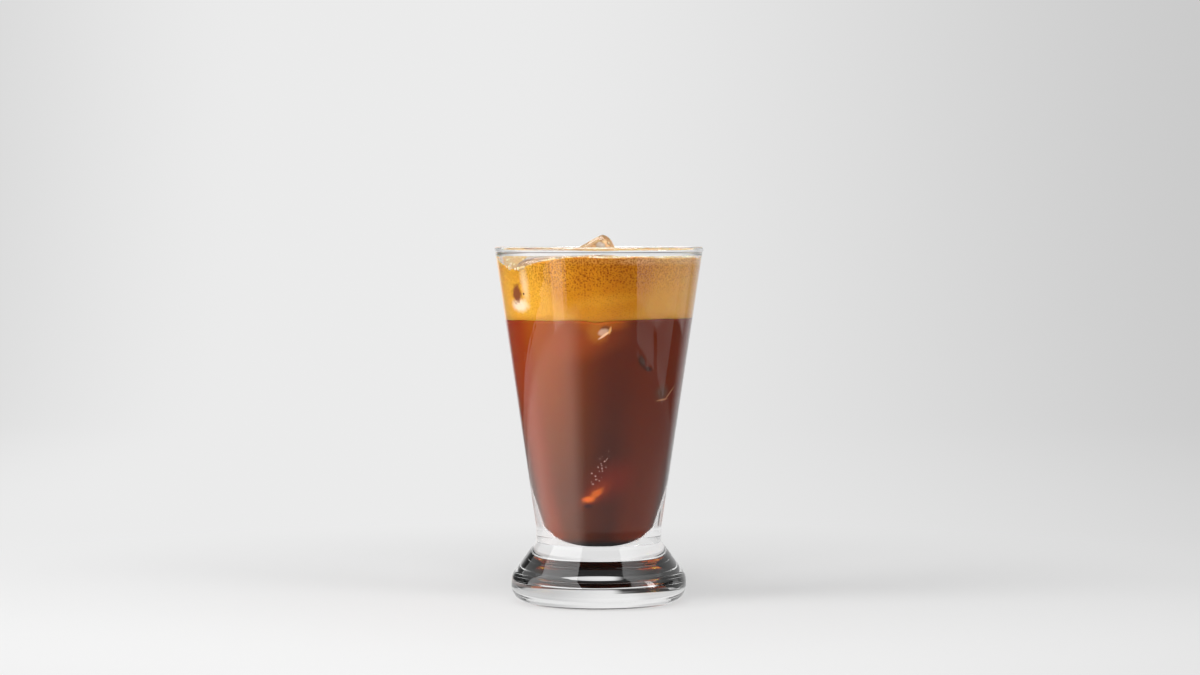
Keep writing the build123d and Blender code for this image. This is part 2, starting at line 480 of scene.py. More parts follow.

# %% [markdown]
# ## Light that the ice carries to the wall
# A cube of ice sunk near the wall shows as a bright, ragged corner with an orange glow
# round it; a deeper one only as a streak or a dark mark. A real cube inside an opaque skin
# would never be seen, so each mark is painted on the wall as spots: a painted glow first,
# then its core, where the ice's pale corner and a painted glint are laid on together.

# %% Coffee: marks of the sunk ice, with painted glows and glints
ICE_MARKS_AND_GLOWS = (  # bearing, height, half width, half height, turn, edge, ragged; strength; tint
    ((-12.0, 106.0, 11.0, 6.0, 15.0, 0.90, 0.2), 0.60, (0.38, 0.075, 0.0080)),
    ((9.0, 108.5, 6.5, 4.5, 0.0, 0.85, 0.2), 0.60, (0.21, 0.034, 0.0040)),
    ((0.8, 112.9, 9.5, 3.2, 0.0, 0.55, 0.1), 0.85, (0.40, 0.095, 0.0020)),
    ((-0.8, 109.4, 3.8, 4.0, 0.0, 0.60, 0.3), 0.80, (0.44, 0.15, 0.014)),
    ((4.8, 110.4, 2.0, 1.3, 0.0, 0.45, 0.4), 0.85, (0.15, 0.045, 0.012)),
    ((2.9, 109.2, 2.0, 1.2, 24.0, 0.40, 0.6), 0.90, (0.66, 0.42, 0.30)),
    ((3.9, 108.1, 2.6, 0.42, 36.0, 0.45, 0.3), 0.90, (0.92, 0.68, 0.42)),
    ((7.4, 109.9, 0.45, 1.4, -14.0, 0.45, 0.2), 0.90, (0.80, 0.44, 0.15)),
    ((14.0, 50.5, 7.5, 5.5, 35.0, 0.90, 0.2), 0.60, (0.22, 0.015, 0.0040)),
    ((-4.5, 45.2, 5.6, 2.3, 42.0, 0.80, 0.3), 0.80, (0.30, 0.036, 0.0050)),
    ((-3.5, 45.2, 3.0, 1.1, 40.0, 0.60, 0.8), 0.90, (0.66, 0.15, 0.0160)),
    ((-12.0, 43.0, 1.9, 1.1, 10.0, 0.55, 0.8), 0.95, (0.78, 0.17, 0.0200)),
    ((-12.8, 40.3, 1.6, 0.8, 5.0, 0.55, 0.2), 0.90, (0.045, 0.010, 0.0080)),
    ((32.0, 97.6, 1.3, 2.8, 28.0, 0.60, 0.7), 0.85, (0.040, 0.010, 0.0030)),
    ((38.5, 94.6, 1.9, 0.9, -15.0, 0.60, 0.6), 0.85, (0.040, 0.008, 0.0030)),
    ((56.0, 84.9, 2.8, 2.8, 30.0, 0.80, 0.5), 0.65, (0.085, 0.050, 0.0300)),
    ((58.0, 82.2, 2.8, 0.36, 6.0, 0.60, 0.2), 0.90, (0.44, 0.19, 0.085)),
    ((67.0, 84.7, 3.4, 0.36, 45.0, 0.60, 0.2), 0.90, (0.42, 0.17, 0.075)),
)
# painted light: the orange glows round the ice and the bright glints in the cores
for sizes, strength, tint in ICE_MARKS_AND_GLOWS:
    colour = n.lay(tint, colour, spot(n, place, *sizes), strength)
print("marks of ice:", len(ICE_MARKS_AND_GLOWS))

# %% [markdown]
# ## Where the glass meets the coffee
# Water bends light less than glass does, so light in the wall that meets the coffee at a
# low angle is mirrored, and the coffee's edge seems to stop short of the glass. The coffee's
# own IOR says this: below 1 it is thinner than what lies before it. 0.89 would be the step
# from glass to water; 0.97 starts the clear edge at the right height for this wall.

# %% Coffee: the painted shade of the dark sides, and the shader
COFFEE_IN_GLASS = 0.97
# painted shade: turned away from the front, and low down, it gets little light
colour = n.lay((0.026, 0.0080, 0.0042), colour,
               n.turn_ramp(n.math("ABSOLUTE", bearing_at), 74, 106),
               n.ramp(height, SHADE_HIGH, SHADE_LOW, 0.12, 0.85))
# painted shade: nearly black where the skin faces down, under the coffee
down = n.xyz(n.add("ShaderNodeNewGeometry").outputs["Normal"])[2]
colour = n.mix(n.ramp(down, -0.60, -0.88), colour, (0.004, 0.002, 0.002))
body = n.add("ShaderNodeBsdfPrincipled", {
    "Base Color": colour, "Roughness": 0.04, "IOR": COFFEE_IN_GLASS,
    "Specular IOR Level": 0.5, "Subsurface Weight": 1.0,
    "Subsurface Radius": (1.0, 0.25, 0.08), "Subsurface Scale": 0.0012})
n.link(body.outputs[0], out.inputs["Surface"])
print("coffee_dark has", len(n.tree.nodes), "nodes")

# %% [markdown]
# ## The body of coffee
# The coffee fills the well up to a slightly tilted, wavy line. The CAD solid touches the
# wall exactly, and two surfaces in one place flicker. A new skin follows the same well and
# reaches a hair into the wall, so that no ray finds air between glass and coffee.

# %% The line between coffee and foam
COLUMNS = 256


def foam_line_at(t):
    """Height of the line round the wall: tilt r cos t, a bulge at the front, slow waves."""
    r = inner_radius(FOAM_LINE)
    line = FOAM_LINE + np.tan(LINE_TILT) * r * np.cos(t)
    bulge = -0.9 * np.exp(-((t - 1.5 * np.pi) / 0.13) ** 2)
    return line + bulge + 0.10 * np.sin(7 * t + 1) + 0.06 * np.sin(17 * t + 2)


t_columns = 2 * np.pi * np.arange(COLUMNS) / COLUMNS
top_line = foam_line_at(t_columns)[None, :]
print(f"foam line from {top_line.min():.2f} to {top_line.max():.2f} mm")

# %% Coffee piece
BOWL_TOP = 40.0  # over the bowl's rounding, where the wall is straight
bowl = rounded_outline([(0, WELL_Z), (WELL_R, WELL_Z), (inner_radius(BOWL_TOP), BOWL_TOP)],
                       [WELL_ROUNDING], 36)
bowl_slope = np.gradient(bowl, axis=0)
outward = np.stack([bowl_slope[:, 1], -bowl_slope[:, 0]], -1)
outward /= np.linalg.norm(outward, axis=1)[:, None]
bowl = bowl + outward * WALL_OVERLAP
bowl[0, 0] = 0.0
rise = np.linspace(0, 1, 60)[1:, None]
wall_z = BOWL_TOP + (top_line - BOWL_TOP) * rise
wall_r = inner_radius(wall_z) + WALL_OVERLAP
lid = np.linspace(1, 0, 12)[1:, None]
lid_r = wall_r[-1:] * lid
lid_z = FOAM_LINE + (top_line - FOAM_LINE) * lid
rows_r = np.concatenate([np.repeat(bowl[:, :1], COLUMNS, 1), wall_r, lid_r])
rows_z = np.concatenate([np.repeat(bowl[:, 1:], COLUMNS, 1), wall_z, lid_z])
points, faces = turned(rows_r, rows_z, COLUMNS)
coffee_piece = make_piece("coffee_body", points, faces, coffee_dark)
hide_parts("coffee")

# %% [markdown]
# ## The colour of the foam
# The foam is a mass of fine bubbles with coffee between them: pale where it is thick and
# dry, a deep orange where ice lies behind it and it is thin. Millions of bubbles can't be
# modelled, and a plain beige looks like plaster. So its colour is laid on in broad soft
# zones first, and the bubbles' own pattern goes over them.

# %% Foam: light and shade
coffee_foam, n, out = new_material("coffee_foam")
place, x, y, z, height, bearing_at = wall_measures(n)
cloud = n.noise(place, 70.0, 4.0)
fine = n.noise(place, 900.0, 2.0)
lit_side = n.turn_ramp(bearing_at, 26, -16)
shade = n.mix(n.ramp(cloud, 0.3, 0.7), (0.60, 0.290, 0.022), (0.64, 0.335, 0.034))
bright = n.mix(n.ramp(cloud, 0.3, 0.7), (0.72, 0.385, 0.032), (0.78, 0.440, 0.052))
colour = n.mix(lit_side, shade, bright)
at_back = n.turn_ramp(n.math("ABSOLUTE", bearing_at), 56, 95)
colour = n.lay((0.64, 0.39, 0.130), colour, at_back, 0.6)
print("coffee_foam starts with", len(n.tree.nodes), "nodes")

# %% Foam: deep orange over the ice behind the front wall, with a paler band low down
ORANGE_AREA = (1.6, 137.2, 22.0, 25.0, 0.0, 0.14, 0.12)
behind = spot(n, place, *ORANGE_AREA)
# painted shade makes the orange over the ice darker on the right, and painted light makes it
# paler high up on the left
over_ice_lit_and_shaded = n.mix(n.turn_ramp(bearing_at, -6, 16), (0.57, 0.232, 0.0060),
                 (0.49, 0.185, 0.0045))
over_ice_lit_and_shaded = n.lay((0.72, 0.350, 0.0200), over_ice_lit_and_shaded, n.turn_ramp(bearing_at, -10, -24),
                 n.ramp(height, FOAM_TOP - 15.0, FOAM_TOP - 6.0))
colour = n.lay(over_ice_lit_and_shaded, colour, behind, 0.92)
core = spot(n, place, 2.0, 134.0, 17.0, 16.0, 0.0, 0.60, 0.20)
colour = n.lay((0.66, 0.330, 0.0220), colour, behind, n.minus(1.0, core), 0.45)
band = spot(n, place, 2.0, 121.4, 13.0, 2.2, 5.0, 0.75, 0.20)
colour = n.lay((0.70, 0.370, 0.0260), colour, band, 0.45)
print(f"the orange reaches down to {ORANGE_AREA[1] - ORANGE_AREA[3]:.1f} mm, "
      f"the foam to {FOAM_LINE:.1f}")

# %% Foam: darker just above the coffee, dried pale at the top, and a fine grain
colour = n.mix(n.ramp(height, FOAM_LINE + 2.6, FOAM_LINE - 0.5, 0.0, 0.45), colour,
               (0.46, 0.17, 0.010))
colour = n.lay((0.78, 0.55, 0.29), colour, n.ramp(height, FOAM_TOP - 2.4, FOAM_TOP - 0.2),
               n.ramp(cloud, 0.35, 0.6, 0.45, 1.0),
               n.turn_ramp(bearing_at, 6, 26, 0.15, 1.0), 0.75)
colour = n.mix(n.ramp(fine, 0.35, 0.65, 0.10, 0.0), colour, (0.40, 0.12, 0.004))
print("zones of the foam:", len(n.tree.nodes), "nodes")

# %% [markdown]
# ## Pores
# Against the wall each larger bubble shows as a small dark ring or dot. Cells in space
# would be cut at any depth and come out in all sizes. So they are laid out on the wall's own
# sheet, (bearing x radius, height), where each is cut through its middle and is as wide as
# it should be. Every cell draws a number: below the share it stays empty, and above it the
# pore grows with the number.

# %% Foam: pores, fine ones everywhere and larger ones high up at the front
SHEET_R = 0.037  # metres, the foam's usual radius, which turns a bearing into a length
sheet = n.add("ShaderNodeCombineXYZ", {0: n.times(bearing_at, SHEET_R), 1: z}).outputs[0]
wide_zone = spot(n, place, 6.0, 134.8, 58.0, 6.4, 0.0, 0.70, 0.6)
high_up = n.ramp(height, FOAM_TOP - 15.0, FOAM_TOP - 3.0)
pore_zone = spot(n, place, -1.0, 131.8, 21.0, 7.2, 0.0, 0.90, 0.6)
PORES = (  # cells to a metre, least and most radius in cells, share left empty, strength, zone
    (1000.0, 0.12, 0.24, 0.40, 0.34, None), (1500.0, 0.12, 0.26, 0.30, 0.36, None),
    (850.0, 0.17, 0.33, 0.15, 0.40, high_up), (1050.0, 0.18, 0.32, 0.15, 0.60, wide_zone),
    (800.0, 0.17, 0.35, 0.25, 0.90, pore_zone))
for scale, least, most, share, strength, zone in PORES:
    cells = n.add("ShaderNodeTexVoronoi", {"Vector": sheet, "Scale": scale, "Randomness": 0.85},
                  voronoi_dimensions="2D")
    chosen = n.add("ShaderNodeSeparateColor", {0: cells.outputs["Color"]}).outputs[0]
    wide = n.ramp(chosen, share, 1.0, least, most, False)
    hole = n.ramp(cells.outputs["Distance"], n.plus(wide, 0.06), n.minus(wide, 0.06))
    masks = [hole, n.math("GREATER_THAN", chosen, share)] + ([] if zone is None else [zone])
    colour = n.lay((0.24, 0.062, 0.002), colour, *masks, strength)
print("layers of pores:", len(PORES), "the finest", round(1000 / max(p[0] for p in PORES), 2),
      "mm apart")

# %% [markdown]
# ## The side cube's window
# The side cube's edge lies on the wall. Where it does, there is no foam: a brown window
# shows the dark drink through the ice, milky melt water has run down under it, and its top
# corner wets the foam pale. The cube itself stands inside the foam's skin, so the window is
# laid on the foam as spots, from the palest to the darkest.

# %% Foam: window, milk and dot
WINDOW = (-59.0, 124.0)  # bearing and height of its middle
milk = spot(n, place, -57.8, 119.4, 4.6, 2.3, 0.0, 0.55, 0.6)
colour = n.lay((0.93, 0.83, 0.70), colour, milk, 0.80)
streak = spot(n, place, -49.8, 127.8, 1.7, 6.8, 0.0, 0.85, 0.8)
colour = n.lay((0.90, 0.76, 0.54), colour, streak, 0.50)
window = spot(n, place, *WINDOW, 2.5, 3.3, -16.0, 0.25, 1.0)
colour = n.lay((0.20, 0.050, 0.024), colour, window, 0.92)
rim_mark = n.minus(spot(n, place, *WINDOW, 3.1, 4.2, -16.0, 0.2, 1.6), window, clamp=True)
colour = n.lay((0.24, 0.065, 0.010), colour, rim_mark, 0.5)
dot = spot(n, place, -51.9, 123.9, 0.45, 0.45, 0.0, 0.4, 0.4)
colour = n.mix(dot, colour, (0.05, 0.015, 0.006))
print(f"the window's middle is {HEIGHT - WINDOW[1]:.1f} mm under the lip")

# %% [markdown]
# ## The open top of the foam
# Where the foam meets the air it is drier: beige, with a net of small bubbles. The net is
# the edges of cells seen from above. It fades out at the wall, where the foam is wet. Foam
# has no gloss of its own, and scatters light a little deeper than its bubbles are wide.

# %% Foam: dry top and shader
from_axis = n.times(n.length(x, y), 1000.0)
wall_here = n.plus(n.times(n.minus(height, WELL_Z), INNER_SLOPE), WELL_R)
open_top = n.ramp(n.minus(wall_here, from_axis), 0.2, 1.6)
net = n.add("ShaderNodeTexVoronoi", {"Vector": place, "Scale": 800.0},
            feature="DISTANCE_TO_EDGE", voronoi_dimensions="2D").outputs["Distance"]
dry = n.mix(n.ramp(net, 0.02, 0.22), (0.58, 0.37, 0.165), (0.47, 0.265, 0.095))
dry = n.mix(n.ramp(cloud, 0.35, 0.65, 0.0, 0.35), dry, (0.66, 0.46, 0.24))
colour = n.lay(dry, colour, open_top, 0.9)
body = n.add("ShaderNodeBsdfPrincipled", {
    "Base Color": colour, "Roughness": 0.5, "IOR": 1.33, "Specular IOR Level": 0.0,
    "Subsurface Weight": 1.0, "Subsurface Radius": (1.0, 0.5, 0.2),
    "Subsurface Scale": 0.0012})
n.link(body.outputs[0], out.inputs["Surface"])
print("coffee_foam has", len(n.tree.nodes), "nodes")

# %% [markdown]
# ## The layer of foam
# The foam stands on the coffee, climbs the wall a little and dips where the side cube leans
# on the glass. A displaced disc would tear where the climb is steep; here one skin runs
# under the foam, up the wall and in over its top, with rows close together at the wall.

# %% The foam's level
SWELL_LENGTH, FOAM_RELIEF, CLIMB_REACH = 21.0, 0.35, 3.0
DIP_BEARING, DIP_DEPTH, DIP_REACH = math.radians(213.0), 4.6, 13.0
rim_r = inner_radius(FOAM_TOP)


def foam_height(x, y):
    """Foam level: three slow swells, a climb exp(-gap/3) at the wall, a hollow at the ice."""
    swells = sum(
        np.sin(2 * np.pi * (x * math.cos(math.radians(b)) + y * math.sin(math.radians(b)))
               / SWELL_LENGTH + b)
        for b in (20, 95, 155)
    )
    gap = np.clip(rim_r - np.hypot(x, y), 0, None)
    dip_x, dip_y = float(rim_r) * math.cos(DIP_BEARING), float(rim_r) * math.sin(DIP_BEARING)
    away = np.hypot(x - dip_x, y - dip_y) / DIP_REACH
    return (FOAM_TOP + FOAM_RELIEF * swells / 3 + np.exp(-gap / CLIMB_REACH)
            - DIP_DEPTH * np.exp(-(away**2)))


edge_z = foam_height(rim_r * np.cos(t_columns), rim_r * np.sin(t_columns))[None, :]
print(f"the foam meets the wall between {edge_z.min():.2f} and {edge_z.max():.2f} mm")

# %% Foam piece
SIDE_ROWS, TOP_ROWS, UNDER_ROWS = 44, 56, 5
side = np.linspace(0, 1, SIDE_ROWS)[:, None]
side_z = (top_line - 0.05) + (edge_z - top_line + 0.05) * side
side_r = inner_radius(side_z) + WALL_OVERLAP + 0.01
inwards = np.linspace(1, 0, TOP_ROWS)[1:, None] ** 0.8
top_r = side_r[-1:] * inwards
top_z = foam_height(top_r * np.cos(t_columns), top_r * np.sin(t_columns))
under = np.linspace(0, 1, UNDER_ROWS + 1)[:-1, None]
under_r = side_r[:1] * under
under_z = FOAM_LINE - 0.3 + 0 * under_r
rows_r = np.concatenate([under_r, side_r, top_r])
rows_z = np.concatenate([under_z, side_z, top_z])
points, faces = turned(rows_r, rows_z, COLUMNS)
foam_piece = make_piece("foam_body", points, faces, coffee_foam)
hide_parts("coffee_foam")

# %% [markdown]
# ## Ice
# Two clear cubes stand in the drink. A film of coffee clings to them and tints what is seen
# through them, brown where the side cube lies in the foam. The film could be a second skin,
# but a thin layer over clear ice costs many bounces of light. So the ice itself is tinted
# by slow noise, and the same noise dents its surface.

# %% Ice material
melting_ice, n, out = new_material("melting_ice")
place = n.object_place()
dents = n.noise(place, 190.0, 2.0)
bump = n.add("ShaderNodeBump", {"Height": dents, "Strength": 0.22, "Distance": 0.0012})
film = n.mix(n.ramp(dents, 0.42, 0.62), (0.95, 0.88, 0.79), (0.54, 0.40, 0.28))
veins = n.mix(n.ramp(dents, 0.46, 0.60), (0.52, 0.36, 0.23), (0.10, 0.05, 0.025))
film = n.mix(n.ramp(n.xyz(place)[0], -0.012, -0.020, 0.0, 0.75), film, veins)
body = n.add("ShaderNodeBsdfPrincipled", {
    "Base Color": film, "Roughness": 0.03, "IOR": 1.31, "Transmission Weight": 0.93,
    "Normal": bump.outputs[0]})
clear_to_lamps(n, out, body, 0.95)
print("melting_ice bends light by", round(body.inputs["IOR"].default_value, 2))

# %% [markdown]
# ## The cubes
# Ice melts from its corners in, and lies flat where it has touched another cube. A bevelled
# cube looks cut, not melted. Here a round skin is pushed onto a cube with round edges, waved
# a little, and planed flat in a few random directions. The seeds are fixed, so that every
# run gives the same ice.

# %% Directions and turns


def directions(rows, columns):
    """Unit vectors (cos a cos b, cos a sin b, sin a) on rows of latitude a and two poles."""
    lat = np.linspace(-np.pi / 2, np.pi / 2, rows + 2)[:, None]
    lon = 2 * np.pi * np.arange(columns)[None, :] / columns
    return np.stack([np.cos(lat) * np.cos(lon), np.cos(lat) * np.sin(lon),
                     np.sin(lat) + 0 * lon], -1)


def turn_about(axis, degrees):
    """The 3 x 3 matrix of a turn about one of the axes, 0, 1 or 2."""
    c, s = math.cos(math.radians(degrees)), math.sin(math.radians(degrees))
    i, j = ((1, 2), (2, 0), (0, 1))[axis]
    matrix = np.eye(3)
    matrix[i, i], matrix[i, j], matrix[j, i], matrix[j, j] = c, -s, s, c
    return matrix


print("7 rows of 12 directions and two poles:", len(closed(directions(7, 12))), "points")
print("a turn of 90 degrees about z takes +X to", (turn_about(2, 90) @ [1, 0, 0]).round(3))

# %% Melting
SLOW_WAVES, WAVE_RATE = 6, 0.22  # how many, and radians to a millimetre
LEAST_PLANED, MOST_PLANED = 0.4, 1.1  # millimetres


def melted_block(middle, axes, edge, rounding, melt, facets, seed, rows=110, columns=180):
    """A cube melted round: for each direction d, p = h d / max|d| lies on the cube.

    Its nearest point of the inner cube is c = clip(p, -(h-r), h-r), and the skin is
    c + r (p - c)/|p - c|, pushed in and out by slow sine waves of size melt. Then flat
    places are melted into it: q = q - max(0, q.n - s) n for a few directions n, where s is
    a little less than the skin's own reach that way.
    """
    rng = np.random.default_rng(seed)
    d = directions(rows, columns)
    h = edge / 2
    p = h * d / np.abs(d).max(-1, keepdims=True)
    c = np.clip(p, -(h - rounding), h - rounding)
    off = (p - c) / np.linalg.norm(p - c, axis=-1, keepdims=True)
    skin = c + rounding * off
    for _ in range(SLOW_WAVES):
        wave = rng.normal(size=3) * WAVE_RATE
        skin = skin + off * melt * np.sin(skin @ wave + rng.uniform(0, 6.28))[..., None]
    for _ in range(facets):
        n_dir = rng.normal(size=3)
        n_dir /= np.linalg.norm(n_dir)
        reach = skin @ n_dir
        over = reach - reach.max() + rng.uniform(LEAST_PLANED, MOST_PLANED)
        skin = skin - np.clip(over, 0, None)[..., None] * n_dir
    skin = skin @ axes.T + np.asarray(middle)
    return closed(skin), grid_faces(rows, columns)


# %% Ice pieces
MELT, FACETS = 0.08, 7
middle_axes = turn_about(0, -9.0) @ turn_about(1, -30.5)
side_axes = turn_about(2, 213.0) @ turn_about(1, 12.8) @ turn_about(2, 45.0)
for name, node, axes, edge, rounding, seed in (
        ("ice_middle", "ice_cube_middle", middle_axes, 25.9, 5.2, 3),
        ("ice_side", "ice_cube_side", side_axes, 23.5, 4.2, 5)):
    low, high = (np.array(corner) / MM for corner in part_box(node))
    points, faces = melted_block((low + high) / 2, axes, edge, rounding, MELT, FACETS, seed)
    ice_piece = make_piece(name, points, faces, melting_ice)
    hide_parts(node)
    print("  from", points.min(0).round(1), "to", points.max(0).round(1))
    print("  node", low.round(1), "to", high.round(1))

# %% [markdown]
# ## Bubbles
# Round the edge of the foam, and thinly over its top, larger bubbles stand up as beads with
# a wet film. A thread of tiny ones clings to the wall low down in the coffee. A particle
# system could strew them, but its copies are no mesh of their own. Arrays of one small
# sphere, joined into one piece of each kind, are plain meshes from the start. There are
# hundreds, so each sphere has few faces.

# %% Bubble materials
bubble_film, n, out = new_material("bubble_film")
cloud = n.noise(n.object_place(), 300.0, 1.0)
colour = n.mix(n.ramp(cloud, 0.3, 0.7), (0.72, 0.50, 0.26), (0.92, 0.80, 0.60))
body = n.add("ShaderNodeBsdfPrincipled", {
    "Base Color": colour, "Roughness": 0.12, "IOR": 1.33, "Subsurface Weight": 0.6,
    "Subsurface Radius": (1.0, 0.6, 0.3), "Subsurface Scale": 0.0006})
n.link(body.outputs[0], out.inputs["Surface"])

wet_bubble, n, out = new_material("wet_bubble")
cloud = n.noise(n.object_place(), 500.0, 2.0)
colour = n.mix(cloud, (0.46, 0.20, 0.16), (0.78, 0.48, 0.42))
body = n.add("ShaderNodeBsdfPrincipled", {
    "Base Color": colour, "Roughness": 0.3, "Specular IOR Level": 0.0})
n.link(body.outputs[0], out.inputs["Surface"])
print("made", bubble_film.name, "and", wet_bubble.name)

# %% Many small spheres


def many_spheres(centres, radii, rows=7, columns=12):
    """Copies of one sphere, centre + radius direction, joined as one grid after another."""
    ball = closed(directions(rows, columns))
    points = centres[:, None, :] + radii[:, None, None] * ball
    faces = grid_faces(rows, columns)
    joined = faces[None] + (np.arange(len(centres)) * len(ball))[:, None, None]
    return points.reshape(-1, 3), joined.reshape(-1, 3)


def on_foam(r, t, lift):
    """Centres at radius r and angle t that stand on the foam's top, raised by lift."""
    cx, cy = r * np.cos(t), r * np.sin(t)
    return np.stack([cx, cy, foam_height(cx, cy) + lift], -1)


print("one bubble has", len(grid_faces(7, 12)), "faces")

# %% Bubbles on the foam
EDGE_BUBBLES, TOP_BUBBLES, THREAD_BUBBLES = 230, 420, 26
EDGE_SIZES, TOP_SIZES, THREAD_SIZES = (0.32, 0.90), (0.15, 0.55), (0.12, 0.30)  # radii, mm
GATHERED, GATHERED_AT, GATHERED_SPREAD = 0.6, -0.75, 0.45  # a share, and radians from +X
rng = np.random.default_rng(11)
# denser towards the right front: most angles are drawn round one bearing there
t = np.where(rng.uniform(size=EDGE_BUBBLES) < GATHERED,
             rng.normal(GATHERED_AT, GATHERED_SPREAD, EDGE_BUBBLES),
             rng.uniform(-np.pi, np.pi, EDGE_BUBBLES))
edge_r = rng.uniform(*EDGE_SIZES, EDGE_BUBBLES)
r = rim_r + 0.25 - edge_r - np.abs(rng.normal(0, 0.35, EDGE_BUBBLES))
edge_centres = on_foam(r, t, edge_r * 0.25)
t = rng.uniform(-np.pi, np.pi, TOP_BUBBLES)
top_radii = rng.uniform(*TOP_SIZES, TOP_BUBBLES)
r = (rim_r - 1.2) * np.sqrt(rng.uniform(0, 1, TOP_BUBBLES))
top_centres = on_foam(r, t, top_radii * 0.1)
points, faces = many_spheres(np.concatenate([edge_centres, top_centres]),
                             np.concatenate([edge_r, top_radii]))
make_piece("foam_bubbles", points, faces, bubble_film)

# %% The thread of bubbles in the coffee
THREAD_LOW, THREAD_RISE = 48.5, 14.0  # mm up the wall
THREAD_BEARING, THREAD_LEAN = math.radians(-95.0), np.radians(14.0)  # from +X
rise_by = rng.uniform(0, 1, THREAD_BUBBLES)
thread_z = THREAD_LOW + THREAD_RISE * rise_by
thread_t = THREAD_BEARING + THREAD_LEAN * rise_by + rng.normal(0, 0.05, THREAD_BUBBLES)
thread_r = rng.uniform(*THREAD_SIZES, THREAD_BUBBLES)
r = inner_radius(thread_z) + WALL_OVERLAP - 0.3 * thread_r
thread = np.stack([r * np.cos(thread_t), r * np.sin(thread_t), thread_z], -1)
points, faces = many_spheres(thread, thread_r, 5, 10)
make_piece("coffee_bubbles", points, faces, wet_bubble)

# %% [markdown]
# ## Floor and backdrop
# A studio sweep is one pale sheet that runs under the glass and bends up behind it with no
# corner. Glass has hardly a look of its own: it shows what stands round it, straight, bent
# or mirrored. So the sweep answers each kind of ray in its own way. A camera ray, and a ray
# bent by the glass, see a pale grey that no lamp can burn out. A light ray meets a plain
# matt floor, which keeps the shadow. A mirrored ray meets windows and panes, as it would in
# a room. Real cards round the set would do the same, but they would also stand in the other
# views.

# %% Kinds of ray


def kinds_of_ray(n):
    """Light Path's outputs, and masks for rays that see and for rays that are mirrored.

    A ray bent by glass counts as glossy too, so mirrored = glossy (1 - transmission).
    """
    path = n.add("ShaderNodeLightPath").outputs
    see = n.math("ADD", path["Is Camera Ray"], path["Is Transmission Ray"], clamp=True)
    return path, see, n.times(path["Is Glossy Ray"], n.minus(1.0, path["Is Transmission Ray"]))


# %% Floor: what is seen of it
FLOOR_GREY = 0.62
floor_mat, n, out = new_material("studio_sweep")
place = n.object_place()
x, y, z = n.xyz(place)
path, see, mirrored = kinds_of_ray(n)
near = n.length(x, y)
bearing = n.bearing(x, y)
# it darkens to both sides and towards the back
fall = n.plus(n.times(n.ramp(x, -0.12, 0.62), 0.25), n.times(n.ramp(x, -0.28, -0.62), 0.16))
pale = n.minus(n.ramp(y, 0.30, -0.15, 0.832, 0.886), fall)
# high up on the left the backdrop ends, and the foot sees a dark room beyond it
room = n.times(n.ramp(z, 0.44, 0.50), n.ramp(x, -0.14, -0.30), path["Is Transmission Ray"])
lit = n.add("ShaderNodeBsdfDiffuse", {"Color": grey(FLOOR_GREY)})
seen = n.add("ShaderNodeEmission", {
    "Strength": n.times(pale, n.minus(1.0, n.times(room, 0.97)))})
# close to the foot most of it is lit, which carries the shadow
share = n.math("MAXIMUM", n.ramp(near, 0.10, 0.34, 0.25, 1.0),
               n.times(path["Is Transmission Ray"], 0.85))
ground = n.add("ShaderNodeMixShader", {0: share, 1: lit.outputs[0], 2: seen.outputs[0]})
print("the floor's grey is", FLOOR_GREY, "for lamps and about 0.89 for the camera")

# %% [markdown]
# ## What the glass mirrors
# The wall of the cone overhangs, so it mirrors the floor and not the room. The marks on it
# are drawn on the floor where their mirrored rays land: a wide soft window on the left, two
# narrow panes with a dark bar between them on the right, and behind the glass the pale
# sweep itself. Distances from the foot stand for heights on the wall: the foam's mirror
# begins farther out than the coffee's.

# %% Floor: the window on the left
far_zone = n.ramp(near, 0.395, 0.42)
right_edge = n.plus(n.times(n.turn_ramp(bearing, -16, -43), n.minus(1.0, far_zone)),
                    n.times(n.turn_ramp(bearing, -36.2, -37.8), far_zone))
wavy = n.times(n.math("SINE", n.times(near, 240.0)), 0.010)
wavy = n.plus(wavy, n.times(n.minus(n.noise(place, 26.0, 2.0), 0.5), 0.05))
bend_in = n.plus(n.times(n.math("MAXIMUM", n.minus(y, 0.19), 0.0), 0.60),
                 n.times(n.math("MAXIMUM", y, 0.0), 0.10))
left_edge = n.ramp(n.minus(n.plus(x, wavy), bend_in), -0.480, -0.468)
left = n.times(right_edge, n.ramp(near, 0.06, 0.12), left_edge, n.ramp(y, 0.47, 0.43),
               n.ramp(near, 0.37, 0.43, 1.0, 0.62), n.turn_ramp(bearing, -97, -140, 1.0, 0.30),
               n.ramp(near, 0.52, 0.60, 1.0, 0.45))
stripe = n.times(n.turn_ramp(bearing, -57, -54), n.turn_ramp(bearing, -40.5, -42.5),
                 n.ramp(near, 0.385, 0.40), n.ramp(near, 0.58, 0.52))
print("after the window:", len(n.tree.nodes), "nodes")

# %% Floor: the panes on the right
# edges as a, b, limit and softness
PANE_LEFT, PANE_RIGHT = (1.868, 1.0, 0.264, 0.006), (0.42, -1.0, 0.094, 0.008)
BAR_LEFT, BAR_RIGHT = (-1.152, -1.0, -0.3187, 0.005), (1.106, 1.0, 0.3587, 0.005)
LEFT_PANE_GLOW, RIGHT_PANE_GLOW, FOAM_PANE_GLOW = 1.15, 0.95, 1.1


def half_plane(a, b, limit, soft):
    """1 on the floor where a x + b y is over the limit: a straight edge with a soft step."""
    return n.ramp(n.plus(n.times(x, a), n.times(y, b)), limit - soft, limit + soft)


